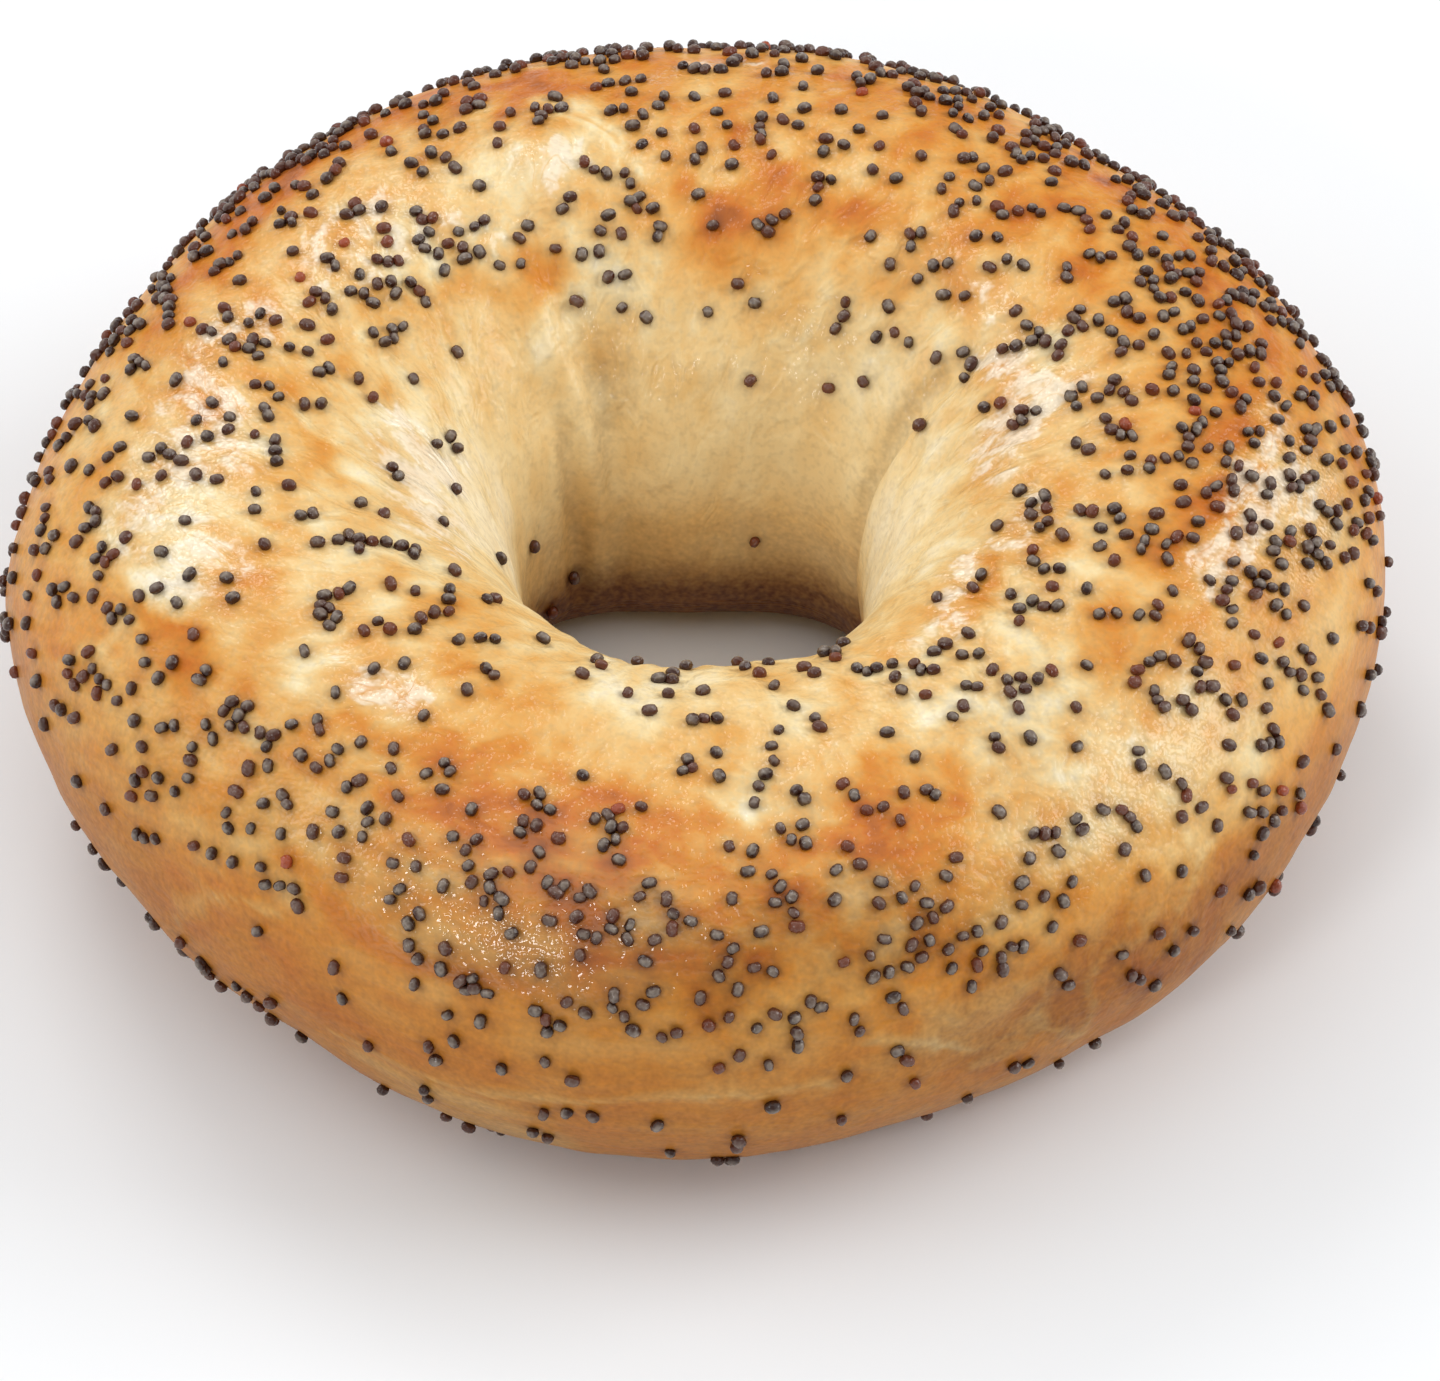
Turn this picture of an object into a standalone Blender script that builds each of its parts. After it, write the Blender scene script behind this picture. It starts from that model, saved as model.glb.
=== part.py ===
# Poppy seed bagel: one baked ring of dough, uncut, lying on its flat underside.
# Metres, +Z up. The origin is on the floor under the middle of the ring,
# and the side that faces the viewer is towards -Y.

import math

import bmesh
import bpy

# Outline of the ring seen from above
OUTER_RADIUS = 0.0538
OUTER_LOBES = ((2, 0.0006, 100), (3, 0.0005, 0), (4, 0.0008, 5), (5, 0.0002, -18), (6, 0.0004, 14))

# The hole is a soft square, a little nearer to the front than to the back
HOLE_HALF_WIDTH = 0.0134
HOLE_HALF_DEPTH = 0.0124
HOLE_SQUARENESS = 2.8
HOLE_SHIFT_X = -0.0003
HOLE_SHIFT_Y = -0.0021
HOLE_LOBES = ((3, 0.0009, 29), (4, 0.0003, -10))

# The ring stands highest at the back right and lowest at the front right
HEIGHT = 0.0345
HEIGHT_LOBES = ((1, 0.0009, 103), (2, 0.0010, 47))

# Small shift that puts the middle of the whole ring over the origin
RING_SHIFT_X = -0.0001
RING_SHIFT_Y = 0.0002

# Cross-section: how high the widest points are, as a share of the height,
# and how square each quarter is, where 2 is a true ellipse
OUTER_BELLY = 0.517
HOLE_BELLY = 0.392
SQUARE_OUTER_TOP = 2.16
SQUARE_HOLE_TOP = 2.08
SQUARE_OUTER_FOOT = 2.0
SQUARE_HOLE_FOOT = 4.4

# How much of the round underside the oven tray has flattened
FLAT_DEPTH = 0.0012

# Soft swellings and hollows that the dough took on while it rose.
# Each is: degrees around the ring, degrees around the section from the outer
# side over the top, half length along the ring, half length across, rise.
SWELLINGS = (
    (318, -18, 0.012, 0.008, 0.0008),
    (305, -22, 0.006, 0.006, -0.0004),
    (220, -22, 0.009, 0.007, 0.0005),
    (183, -5, 0.008, 0.009, 0.0007),
    (60, 46, 0.009, 0.007, 0.0005),
    (33, 32, 0.010, 0.008, 0.0007),
    (108, 50, 0.010, 0.007, 0.0004),
    (252, 40, 0.009, 0.007, 0.0004),
    (290, 60, 0.008, 0.008, 0.0004),
    (200, 62, 0.010, 0.007, 0.0004),
    (352, 100, 0.009, 0.007, 0.0004),
    (112, 87, 0.004, 0.004, 0.0005),
    (279, 128, 0.004, 0.004, 0.0005),
    (296, 138, 0.004, 0.004, -0.0006),
)

# Creases where the rolled dough was pinched together inside the hole
CREASES = (
    (119, 152, 0.0016, 0.014, -0.0006),
    (134, 176, 0.0014, 0.006, -0.0004),
    (20, 158, 0.0015, 0.011, -0.0005),
)

# Facets around the ring and around its cross-section
RING_STEPS = 96
SECTION_STEPS = 48

# Width of the round blank that is swept into a ring before it is shaped
BLANK_RADIUS = 0.02


def lobed(lobes, azimuth):
    """Sum of gentle waves around the ring, each with its crest at a given azimuth."""
    total = 0.0
    for count, size, crest in lobes:
        total += size * math.cos(count * (azimuth - math.radians(crest)))
    return total


def hole_radius(azimuth):
    """Distance from the axis to the narrowest part of the hole's wall."""
    across = abs(math.cos(azimuth) / HOLE_HALF_WIDTH) ** HOLE_SQUARENESS
    along = abs(math.sin(azimuth) / HOLE_HALF_DEPTH) ** HOLE_SQUARENESS
    square = (across + along) ** (-1.0 / HOLE_SQUARENESS)
    shift = HOLE_SHIFT_X * math.cos(azimuth) + HOLE_SHIFT_Y * math.sin(azimuth)
    return square + shift + lobed(HOLE_LOBES, azimuth)


def signed_power(value, power):
    return math.copysign(abs(value) ** power, value)


def section_point(azimuth, angle):
    """Distance from the axis and height of one point of the cross-section."""
    outer = OUTER_RADIUS + lobed(OUTER_LOBES, azimuth)
    inner = hole_radius(azimuth)
    height = HEIGHT + lobed(HEIGHT_LOBES, azimuth)
    middle = (outer + inner) / 2
    half_width = (outer - inner) / 2
    cosine = math.cos(angle)
    sine = math.sin(angle)
    if sine >= 0:
        square = SQUARE_OUTER_TOP if cosine >= 0 else SQUARE_HOLE_TOP
    else:
        square = SQUARE_OUTER_FOOT if cosine >= 0 else SQUARE_HOLE_FOOT
    outward = (1 + cosine) / 2
    belly = height * (HOLE_BELLY + (OUTER_BELLY - HOLE_BELLY) * outward)
    reach = height - belly if sine >= 0 else belly + FLAT_DEPTH
    radius = middle + half_width * signed_power(cosine, 2 / square)
    return radius, belly + reach * signed_power(sine, 2 / square)


def bump(features, azimuth, angle, radius):
    """Rise of the crust over the plain ring at one point."""
    rise = 0.0
    for around, section, length, width, size in features:
        turn = math.remainder(azimuth - math.radians(around), math.tau)
        tilt = math.remainder(angle - math.radians(section), math.tau)
        along = turn * radius / length
        across = tilt * HEIGHT / 2 / width
        rise += size * math.exp(-along * along - across * across)
    return rise


def even_section_angles(steps):
    """Section angles whose points lie at equal distances around the middle section."""
    fine = 720
    points = [section_point(0.0, math.tau * i / fine) for i in range(fine + 1)]
    walked = [0.0]
    for start, end in zip(points, points[1:]):
        walked.append(walked[-1] + math.dist(start, end))
    angles = []
    place = 0
    for step in range(steps):
        target = walked[-1] * step / steps
        while walked[place + 1] < target:
            place += 1
        part = (target - walked[place]) / (walked[place + 1] - walked[place])
        angles.append(math.tau * (place + part) / fine)
    return angles


def crust_point(azimuth, angle):
    """Place of one point of the crust, with the underside pressed flat at zero height."""
    radius, height = section_point(azimuth, angle)
    rise = bump(SWELLINGS, azimuth, angle, radius) + bump(CREASES, azimuth, angle, radius)
    radius += rise * math.cos(angle)
    height = max(height + rise * math.sin(angle), 0.0)
    x = radius * math.cos(azimuth) + RING_SHIFT_X
    y = radius * math.sin(azimuth) + RING_SHIFT_Y
    return x, y, height


for leftover in list(bpy.data.objects):
    bpy.data.objects.remove(leftover, do_unlink=True)

# A circle is swept once round the axis, which closes into a plain ring
form = bmesh.new()
loop = bmesh.ops.create_circle(form, segments=SECTION_STEPS, radius=BLANK_RADIUS)
for vertex in loop["verts"]:
    turn = math.atan2(vertex.co.y, vertex.co.x)
    vertex.co = (OUTER_RADIUS + BLANK_RADIUS * math.cos(turn), 0.0, BLANK_RADIUS * math.sin(turn))
bmesh.ops.spin(
    form,
    geom=form.verts[:] + form.edges[:],
    cent=(0.0, 0.0, 0.0),
    axis=(0.0, 0.0, 1.0),
    angle=math.tau,
    steps=RING_STEPS,
    use_merge=True,
)

# Each point of the plain ring moves to its own place on the risen dough
angles = even_section_angles(SECTION_STEPS)
for vertex in form.verts:
    azimuth = math.atan2(vertex.co.y, vertex.co.x)
    beside = math.hypot(vertex.co.x, vertex.co.y) - OUTER_RADIUS
    turn = math.atan2(vertex.co.z, beside) / math.tau
    vertex.co = crust_point(azimuth, angles[round(turn * SECTION_STEPS) % SECTION_STEPS])
bmesh.ops.recalc_face_normals(form, faces=form.faces[:])

mesh = bpy.data.meshes.new("bagel")
form.to_mesh(mesh)
form.free()
mesh.shade_smooth()

# Browned crust with a light gloss
crust = bpy.data.materials.new("baked crust")
crust.use_nodes = True
surface = crust.node_tree.nodes["Principled BSDF"]
surface.inputs["Base Color"].default_value = (0.60, 0.29, 0.09, 1.0)
surface.inputs["Roughness"].default_value = 0.42
surface.inputs["Metallic"].default_value = 0.0
mesh.materials.append(crust)

bagel = bpy.data.objects.new("bagel", mesh)
bpy.context.collection.objects.link(bagel)
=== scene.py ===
# Poppy seed bagel: a whole ring of boiled and baked dough with poppy seeds pressed into its
# crust. Metres, +Z up. It lies on the floor round the origin, its front towards -Y.

import math
import random

import bmesh
import bpy
import numpy as np
from mathutils import Matrix, Vector, noise
from mathutils.bvhtree import BVHTree
from mathutils.kdtree import KDTree


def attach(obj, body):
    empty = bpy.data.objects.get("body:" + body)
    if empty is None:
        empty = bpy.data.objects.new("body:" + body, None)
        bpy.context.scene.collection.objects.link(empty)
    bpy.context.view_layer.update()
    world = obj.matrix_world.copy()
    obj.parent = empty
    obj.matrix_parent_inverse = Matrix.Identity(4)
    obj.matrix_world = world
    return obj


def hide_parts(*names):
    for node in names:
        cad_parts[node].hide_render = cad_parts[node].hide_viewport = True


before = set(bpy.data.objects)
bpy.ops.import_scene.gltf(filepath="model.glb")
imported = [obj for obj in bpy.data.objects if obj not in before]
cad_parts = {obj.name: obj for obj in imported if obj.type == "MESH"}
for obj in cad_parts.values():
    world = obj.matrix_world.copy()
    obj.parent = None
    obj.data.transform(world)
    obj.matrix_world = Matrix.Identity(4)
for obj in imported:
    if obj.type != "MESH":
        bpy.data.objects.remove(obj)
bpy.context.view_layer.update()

# Dough ring
# One rope of wheat dough, joined into a ring, proofed, boiled and then baked. It swelled until
# its section was nearly round, its hole was a soft square and its foot lay flat on the tray.

# Outline of the ring seen from above: waves round the ring, as count, size and crest in degrees
OUTER_RADIUS = 0.0538
OUTER_LOBES = ((2, 0.0006, 100), (3, 0.0005, 0), (4, 0.0008, 5), (5, 0.0002, -18), (6, 0.0004, 14))

# The hole, a soft square a little nearer to the front than to the back
HOLE_HALF_WIDTH = 0.0134
HOLE_HALF_DEPTH = 0.0124
HOLE_SQUARENESS = 2.8
HOLE_SHIFT_X = -0.0003
HOLE_SHIFT_Y = -0.0021
HOLE_LOBES = ((3, 0.0009, 29), (4, 0.0003, -10))

# The ring is highest at the back right and lowest at the front right
HEIGHT = 0.0345
HEIGHT_LOBES = ((1, 0.0009, 103), (2, 0.0010, 47))
RING_SHIFT_X = -0.0001
RING_SHIFT_Y = 0.0002

# Cross-section: the height of its widest points as a share of the whole height, how square
# each quarter is (2 is a true ellipse), and how much of the round foot the tray flattened
OUTER_BELLY = 0.517
HOLE_BELLY = 0.392
SQUARE_OUTER_TOP = 2.16
SQUARE_HOLE_TOP = 2.08
SQUARE_OUTER_FOOT = 2.0
SQUARE_HOLE_FOOT = 4.4
FLAT_DEPTH = 0.0012

# Swellings and hollows of the risen dough: degrees around the ring, degrees around the section
# from the outer side over the top, half length along the ring, half length across, rise
SWELLINGS = (
    ("lower right flank", 318, -18, 0.012, 0.008, 0.0008),
    ("dimple in the lower right flank", 305, -22, 0.006, 0.006, -0.0004),
    ("lower left flank", 220, -22, 0.009, 0.007, 0.0005),
    ("left flank", 183, -5, 0.008, 0.009, 0.0007),
    ("back right flank", 60, 46, 0.009, 0.007, 0.0005),
    ("right flank", 33, 32, 0.010, 0.008, 0.0007),
    ("back flank", 108, 50, 0.010, 0.007, 0.0004),
    ("front left shoulder", 252, 40, 0.009, 0.007, 0.0004),
    ("front shoulder", 290, 60, 0.008, 0.008, 0.0004),
    ("left shoulder", 200, 62, 0.010, 0.007, 0.0004),
    ("right inner shoulder", 352, 100, 0.009, 0.007, 0.0004),
    ("blister at the back", 112, 87, 0.004, 0.004, 0.0005),
    ("knob inside the front", 279, 128, 0.004, 0.004, 0.0005),
    ("dip inside the front", 296, 138, 0.004, 0.004, -0.0006),
)

# Creases where the rope was pinched together inside the hole
CREASES = (
    ("far left crease", 119, 152, 0.0016, 0.014, -0.0006),
    ("left crease", 134, 176, 0.0014, 0.006, -0.0004),
    ("far right crease", 20, 158, 0.0015, 0.011, -0.0005),
)

# Rows of the mesh around the ring, and around the section: the crust that shows has finer
# rows than the flat underside between the two underside angles. The section is measured in
# fine steps of a tenth of a degree, and BLANK_RADIUS is that of the plain tube it starts as
RING_STEPS = 480
SECTION_STEPS = 200
UNDERSIDE = (222, 312)
UNDERSIDE_SHARE = 0.45
FINE_STEP = 0.1
BLANK_RADIUS = 0.02


def lobed(lobes, azimuth):
    """Adds up waves round the ring, each with a count of crests, a size and a crest's angle."""
    return sum(size * np.cos(count * (azimuth - math.radians(crest))) for count, size, crest in lobes)


def hole_radius(azimuth):
    """Radius of the hole's narrowest wall at angles round the ring."""
    across = np.abs(np.cos(azimuth) / HOLE_HALF_WIDTH) ** HOLE_SQUARENESS
    deep = np.abs(np.sin(azimuth) / HOLE_HALF_DEPTH) ** HOLE_SQUARENESS
    shift = HOLE_SHIFT_X * np.cos(azimuth) + HOLE_SHIFT_Y * np.sin(azimuth)
    return (across + deep) ** (-1 / HOLE_SQUARENESS) + shift + lobed(HOLE_LOBES, azimuth)


def signed_power(value, power):
    """A power that keeps the sign of its number."""
    return np.sign(value) * np.abs(value) ** power


def section_point(azimuth, angle):
    """Distance from the ring's axis and height of the plain section, without its swellings."""
    outer = OUTER_RADIUS + lobed(OUTER_LOBES, azimuth)
    inner = hole_radius(azimuth)
    height = HEIGHT + lobed(HEIGHT_LOBES, azimuth)
    cosine, sine = np.cos(angle), np.sin(angle)
    square_outer = np.where(sine >= 0, SQUARE_OUTER_TOP, SQUARE_OUTER_FOOT)
    square_hole = np.where(sine >= 0, SQUARE_HOLE_TOP, SQUARE_HOLE_FOOT)
    square = np.where(cosine >= 0, square_outer, square_hole)
    belly = height * (HOLE_BELLY + (OUTER_BELLY - HOLE_BELLY) * (1 + cosine) / 2)
    reach = np.where(sine >= 0, height - belly, belly + FLAT_DEPTH)
    radius = (outer + inner) / 2 + (outer - inner) / 2 * signed_power(cosine, 2 / square)
    return radius, belly + reach * signed_power(sine, 2 / square)


def rise(features, azimuth, angle, radius):
    """How far soft round swellings lift the dough, and hollows sink it."""
    lift = 0
    for name, around, across, length, width, size in features:
        turn = np.remainder(azimuth - math.radians(around) + math.pi, math.tau) - math.pi
        tilt = np.remainder(angle - math.radians(across) + math.pi, math.tau) - math.pi
        lift = lift + size * np.exp(-((turn * radius / length) ** 2) - (tilt * HEIGHT / 2 / width) ** 2)
    return lift


def dough_point(azimuth, angle):
    """Points of the dough ring, as rows of x, y and z."""
    radius, height = section_point(azimuth, angle)
    lift = rise(SWELLINGS, azimuth, angle, radius) + rise(CREASES, azimuth, angle, radius)
    radius = radius + lift * np.cos(angle)
    height = np.maximum(height + lift * np.sin(angle), 0)
    x = radius * np.cos(azimuth) + RING_SHIFT_X
    y = radius * np.sin(azimuth) + RING_SHIFT_Y
    return np.stack([x, y, height], axis=-1)


# Section angles at even spacing along the section's outline, wider on the underside
fine_angles = np.radians(np.arange(0, 360, FINE_STEP))
fine_radius, fine_height = section_point(0.0, fine_angles)
spacing = np.hypot(np.roll(fine_radius, -1) - fine_radius, np.roll(fine_height, -1) - fine_height)
under = (fine_angles > math.radians(UNDERSIDE[0])) & (fine_angles < math.radians(UNDERSIDE[1]))
share = np.concatenate([[0], np.cumsum(spacing * np.where(under, UNDERSIDE_SHARE, 1))])
closed_angles = np.append(fine_angles, math.tau)
section_angles = np.interp(np.arange(SECTION_STEPS) / SECTION_STEPS * share[-1], share, closed_angles)

# A round blank swept into a ring, whose points are then moved to the dough's own shape
bm = bmesh.new()
upright = Matrix.Translation((OUTER_RADIUS, 0, 0)) @ Matrix.Rotation(math.pi / 2, 4, "X")
bmesh.ops.create_circle(bm, segments=SECTION_STEPS, radius=BLANK_RADIUS, matrix=upright)
bmesh.ops.spin(
    bm, geom=bm.verts[:] + bm.edges[:], cent=(0, 0, 0), axis=(0, 0, 1),
    angle=math.tau, steps=RING_STEPS, use_merge=True,
)
blank = np.array([vertex.co for vertex in bm.verts])
azimuth = np.arctan2(blank[:, 1], blank[:, 0])
blank_angle = np.arctan2(blank[:, 2], np.hypot(blank[:, 0], blank[:, 1]) - OUTER_RADIUS)
row = np.rint(blank_angle / math.tau * SECTION_STEPS).astype(int) % SECTION_STEPS
angle = section_angles[row]
points = dough_point(azimuth, angle)
for vertex, point in zip(bm.verts, points):
    vertex.co = point
bmesh.ops.recalc_face_normals(bm, faces=bm.faces[:])
crust_mesh = bpy.data.meshes.new("crust")
bm.to_mesh(crust_mesh)
bm.free()
crust_mesh.shade_smooth()

# Skin of the ring
# The dough's own skin, gelled in the boil: swollen and hollow in slow waves, and drawn into
# soft folds where it stretched down into the hole. All of it is true relief of the mesh.

# Size across and rise of its waves, lumps and folds, and where around the section it folds
WAVE_SIZE = 0.011
WAVE_RISE = 0.00032
LUMP_SIZE = 0.0045
LUMP_RISE = 0.00010
FOLD_SIZE = 0.0030
FOLD_RISE = 0.00026
FOLDS_BY_ANGLE = (
    (-90, 0.0), (20, 0.1), (60, 0.25), (85, 0.5), (105, 1.0), (125, 1.1), (145, 0.9), (165, 0.7),
    (195, 0.4), (230, 0.0), (270, 0.0),
)

# Patterns that follow the skin are read from its place before it was drawn out. Here the ring
# is unrolled to a tube of these radii, whose height runs this much slower than the real skin,
# and it leans by these degrees around the ring for each centimetre of skin
SKIN_RADIUS_BY_ANGLE = (
    (-90, 0.044), (0, 0.050), (40, 0.044), (70, 0.036), (100, 0.031), (130, 0.025), (160, 0.020),
    (270, 0.020),
)
SKIN_SHARE_BY_ANGLE = (
    (-90, 1.0), (20, 1.0), (45, 0.80), (65, 0.65), (100, 0.55), (115, 0.40), (140, 0.35), (170, 0.50),
    (270, 0.60),
)
SKIN_LEAN_BY_AZIMUTH = (
    (-90, 0), (-60, 0), (-40, 4), (-10, -3), (20, -8), (60, 0), (100, 6), (140, 10), (200, 10), (240, 7),
    (270, 0),
)
CENTIMETRES_IN_METRE = 100

# On the underside the patterns don't follow the skin, but lie as they fall
SKIN_FOLLOWS_BY_ANGLE = ((-90, 0), (-60, 0), (-25, 1), (200, 1), (240, 0), (270, 0))

# Blisters, rolls and hollows of the skin, and the floors and lips of its creases, given as the
# swellings are
BLISTERS = (
    ("blister at the back left", 113, 91, 0.0032, 0.0032, 0.0006),
    ("hollow beside the blister", 101, 92, 0.0018, 0.0050, -0.0002),
    ("hollow in the foot", 298, -3, 0.0048, 0.0026, -0.0006),
    ("roll over the hollow", 296, 9, 0.0060, 0.0018, 0.0002),
    ("roll over the foot", 262, 3, 0.0090, 0.0016, 0.0002),
    ("notch in the front shoulder", 276, 84, 0.0030, 0.0030, -0.0002),
    ("floor of the far left crease", 121, 152, 0.0011, 0.0100, -0.0008),
    ("lip of the far left crease", 128, 150, 0.0014, 0.0100, 0.0005),
    ("hollow beside the far left crease", 113, 148, 0.0014, 0.0060, -0.0004),
    ("floor of the left crease", 134, 178, 0.0010, 0.0070, -0.0008),
    ("floor of the far right crease", 23, 155, 0.0011, 0.0110, -0.0008),
    ("lip of the far right crease", 16, 152, 0.0014, 0.0110, 0.0005),
)

# Pale marks where the skin stretched after it had begun to brown: name, and the degrees around
# the ring and the section at both ends
STRETCH_MARKS = (
    ("right flank", (309, 14), (303, -18)),
    ("right flank, short", (299, 1), (296, -10)),
    ("right flank, faint", (317, 20), (311, 4)),
    ("rim of the dip", (284, 12), (291, 4)),
    ("rim of the dip, lower", (291, 4), (301, -9)),
    ("rim of the dip, end", (301, -9), (304, -18)),
    ("low fold", (239, -13), (252, -8)),
    ("low fold, middle", (252, -8), (266, -1)),
    ("low fold, right", (266, -1), (281, 0)),
    ("left flank", (231, 12), (222, -8)),
    ("left flank, faint", (203, 42), (200, 22)),
    ("beside the blister", (98, 101), (105, 76)),
    ("beside the blister, right", (101, 99), (108, 74)),
)
MARK_HALF_WIDTH = 0.0006
MARK_RISE = 0.0001

# Size of one degree around the ring and one around the section on the outer side
DEGREE_AROUND = 0.00088
DEGREE_ACROSS = 0.00032

# Ragged edges of marks and patches: how far they wander in degrees, and the size of a bend
WANDER_AROUND = 6.0
WANDER_ACROSS = 13.0
WANDER_SIZE = 0.008

# A small turn in radians, for reading which way the dough faces
TINY_TURN = 0.0001

# How much of the skin's relief shows around the section: none on the flat foot
RELIEF_SHOWS = ((-90, 0), (-60, 0), (-35, 1), (205, 1), (230, 0), (270, 0))


def cloud(points, size, octaves=2, shift=0.0):
    """Soft noise from about -1 to 1 at each point, in lumps of the given size in metres. The shift
    is any number, another for each pattern, so that no two patterns have the same lumps."""
    return np.array([noise.fractal(Vector(p), 1.0, 2.0, octaves) for p in points / size + shift])


def by_angle(stops, angle):
    """Reads a value from a list of degrees, from -90 to 270, and values."""
    turned = np.remainder(np.degrees(angle) + 90, 360) - 90
    return np.interp(turned, [stop[0] for stop in stops], [stop[1] for stop in stops])


def near_marks(marks, azimuth, angle):
    """1 on each thin mark, fading to 0 beside it."""
    nearest = np.full(azimuth.shape, np.inf)
    for name, start, end in marks:
        turn = np.remainder(np.degrees(azimuth) - start[0] + 180, 360) - 180
        tilt = np.remainder(np.degrees(angle) - start[1] + 180, 360) - 180
        way = np.array([(end[0] - start[0]) * DEGREE_AROUND, (end[1] - start[1]) * DEGREE_ACROSS])
        place = np.stack([turn * DEGREE_AROUND, tilt * DEGREE_ACROSS], axis=-1)
        share = np.clip(place @ way / (way @ way), 0, 1)
        nearest = np.minimum(nearest, np.linalg.norm(place - share[:, None] * way, axis=1))
    return np.exp(-((nearest / MARK_HALF_WIDTH) ** 2))


# Each point's place on the skin before it was drawn out
run = np.cumsum(spacing)
slow_run = np.cumsum(spacing * by_angle(SKIN_SHARE_BY_ANGLE, fine_angles))
under = np.degrees(fine_angles) > 270
run = np.where(under, run - run[-1], run)
slow_run = np.where(under, slow_run - slow_run[-1], slow_run)
lean = np.radians(by_angle(SKIN_LEAN_BY_AZIMUTH, azimuth)) * CENTIMETRES_IN_METRE
past_top = np.interp(angle, fine_angles, run, period=math.tau) - np.interp(math.pi / 2, fine_angles, run)
lean = lean * past_top
skin_radius = by_angle(SKIN_RADIUS_BY_ANGLE, angle)
skin = np.stack([
    skin_radius * np.cos(azimuth - lean), skin_radius * np.sin(azimuth - lean),
    fine_height[0] + np.interp(angle, fine_angles, slow_run, period=math.tau),
], axis=-1)
skin = points + (skin - points) * by_angle(SKIN_FOLLOWS_BY_ANGLE, angle)[:, None]

# Wandering angles for ragged edges. Marks wander two thirds as far as patches do
loose_azimuth = azimuth + np.radians(WANDER_AROUND) * cloud(points, WANDER_SIZE, 4, 3.0)
loose_angle = angle + np.radians(WANDER_ACROSS) * cloud(skin, WANDER_SIZE, 4, 5.0)
marks = near_marks(STRETCH_MARKS, (azimuth + 2 * loose_azimuth) / 3, (angle + 2 * loose_angle) / 3)

# Which way the dough faces at each point, from steps of a tiny turn around the ring and section
around = dough_point(azimuth + TINY_TURN, angle) - dough_point(azimuth - TINY_TURN, angle)
across = dough_point(azimuth, angle + TINY_TURN) - dough_point(azimuth, angle - TINY_TURN)
normals = np.cross(around, across)
normals = normals / np.linalg.norm(normals, axis=1)[:, None]
shows = by_angle(RELIEF_SHOWS, angle)
relief = WAVE_RISE * cloud(points, WAVE_SIZE) + LUMP_RISE * cloud(points, LUMP_SIZE, 2, 7.0)
folds = by_angle(FOLDS_BY_ANGLE, angle)
relief = relief + FOLD_RISE * folds * cloud(skin, FOLD_SIZE, 2, 9.0) + MARK_RISE * marks
relief = relief + rise(BLISTERS, azimuth, angle, np.hypot(points[:, 0], points[:, 1]))
points = points + normals * (relief * shows)[:, None]
points[:, 2] = np.maximum(points[:, 2], 0)
crust_mesh.vertices.foreach_set("co", points.astype(np.float32).ravel())
crust_mesh.update()

# Browning
# Dough browns where it stands high and dries first: cream inside the hole, straw and gold on
# the slopes, orange brown on the shoulders. It runs from 0 for cream to 1 for the darkest.
BROWN_BY_ANGLE = (
    (-90, 0.60), (-40, 0.60), (-20, 0.60), (0, 0.61), (20, 0.54), (40, 0.47), (60, 0.48), (80, 0.43),
    (90, 0.36), (100, 0.33), (110, 0.30), (120, 0.25), (130, 0.20), (145, 0.16), (160, 0.14),
    (172, 0.17), (182, 0.24), (192, 0.38), (215, 0.50), (235, 0.56), (270, 0.56),
)

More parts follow.
